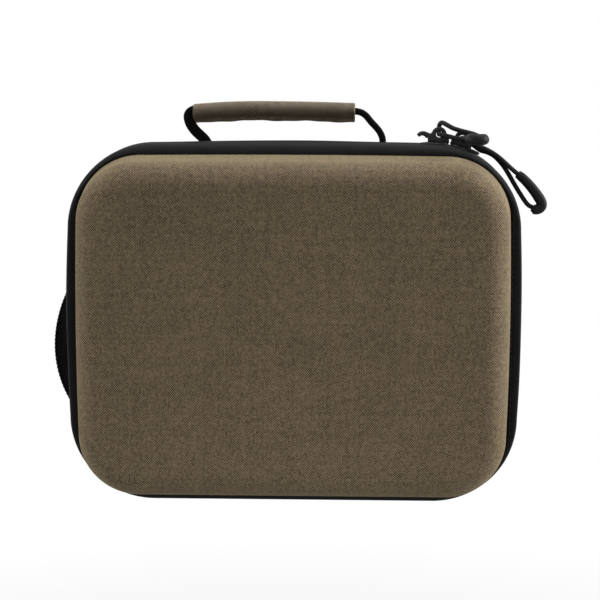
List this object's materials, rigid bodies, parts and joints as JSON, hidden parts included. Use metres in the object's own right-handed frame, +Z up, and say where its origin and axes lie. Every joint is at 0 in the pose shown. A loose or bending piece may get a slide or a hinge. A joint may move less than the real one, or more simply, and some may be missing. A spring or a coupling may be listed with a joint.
{
  "type": "hard-shell battery safety case",
  "caption": "Zipped hard-shell carrying case with canvas-covered clamshell halves, rolled edge bindings, sleeved top handle, cord zip pulls and a side grab loop.",
  "frame": {"origin": "middle of the bottom edge, on the parting plane and level with the crests of the two edge bindings that the case stands on", "axes": "+X to the right as seen from the front, +Y to the rear, +Z up; the lid half faces -Y"},
  "size_m": [0.278, 0.092, 0.2223],
  "materials": {
    "canvas": "woven olive-brown canvas",
    "foam": "moulded closed-cell foam",
    "lining": "coated fire-resistant cloth",
    "binding": "smooth coated edge binding",
    "tape": "woven tape",
    "coil": "nylon coil",
    "webbing": "ribbed webbing",
    "slider": "black painted casting",
    "cord": "braided cord",
    "grip": "soft moulded grip"
  },
  "bodies": {
    "rear_half": {"rear_shell": "foam", "rear_canvas": "canvas", "rear_lining": "lining", "rear_binding": "binding", "rear_zip_tape": "tape", "rear_zip_coil": "coil", "rear_hinge_tape": "tape", "grab_loop": "webbing"},
    "lid": {"front_shell": "foam", "front_canvas": "canvas", "front_lining": "lining", "front_binding": "binding", "front_zip_tape": "tape", "front_zip_coil": "coil", "front_hinge_tape": "tape"},
    "handle": {"handle_strap": "webbing", "handle_core": "foam", "handle_sleeve": "canvas"},
    "left_slider_body": {"left_slider": "slider"},
    "left_pull": {"left_pull_cord": "cord", "left_pull_grip": "grip"},
    "right_slider_body": {"right_slider": "slider"},
    "right_pull": {"right_pull_cord": "cord", "right_pull_grip": "grip"}
  },
  "joints": [
    {"name": "lid_hinge", "type": "hinge", "parent": "rear_half", "child": "lid", "pos_m": [0, 0, -0.00025], "axis": [1, 0, 0], "range_deg": [0, 180]},
    {"name": "handle_swing", "type": "hinge", "parent": "rear_half", "child": "handle", "pos_m": [0, 0.0171, 0.1964], "axis": [1, 0, 0], "range_deg": [-80, 5]},
    {"name": "left_slider_travel", "type": "slide", "parent": "rear_half", "child": "left_slider_body", "axis": [-1, 0, 0], "range_m": [0, 0.15]},
    {"name": "right_slider_travel", "type": "hinge", "parent": "rear_half", "child": "right_slider_body", "pos_m": [0.078, 0, 0.1525], "axis": [0, 1, 0], "range_deg": [0, 35]},
    {"name": "left_pull_swing", "type": "hinge", "parent": "left_slider_body", "child": "left_pull", "pos_m": [0.08, 0, 0.2049], "axis": [0, -1, 0], "range_deg": [0, 65]},
    {"name": "right_pull_swing", "type": "hinge", "parent": "right_slider_body", "child": "right_pull", "pos_m": [0.09267, 0, 0.2028], "axis": [0, -1, 0], "range_deg": [0, 90]}
  ]
}
